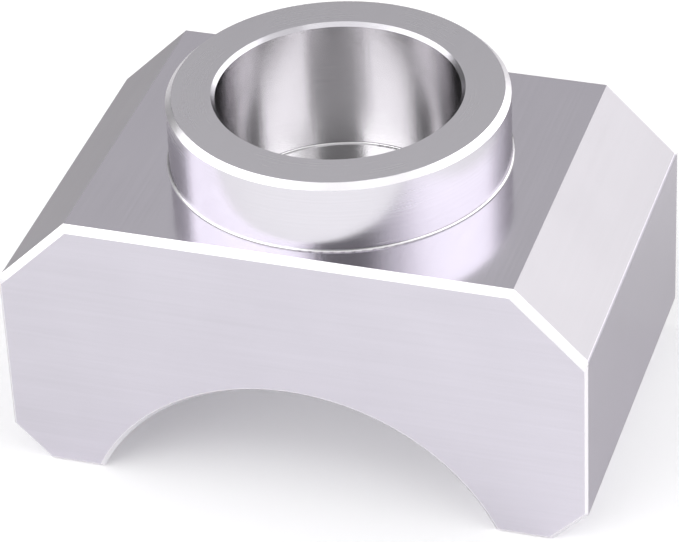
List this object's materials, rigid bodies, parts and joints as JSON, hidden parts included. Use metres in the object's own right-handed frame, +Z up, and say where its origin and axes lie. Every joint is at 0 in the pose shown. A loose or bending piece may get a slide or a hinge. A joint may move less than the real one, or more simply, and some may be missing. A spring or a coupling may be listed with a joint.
{
  "type": "jack saddle adapter",
  "caption": "Machined aluminium block with a round cradle underneath for an axle tube and a blind socket in a boss on top for a jack's post.",
  "frame": {"origin": "centre of the base between the two feet, on the surface that it stands on", "axes": "+X across the block, +Y along the axle tube in the cradle, +Z up along the socket, out of its mouth; the face in the picture is at -Y"},
  "size_m": [0.1004, 0.0636, 0.0619],
  "materials": {
    "machined_aluminium": "fine milled and turned, satin, with bright broken edges"
  },
  "bodies": {
    "root": {"saddle_body": "machined_aluminium"}
  },
  "joints": []
}
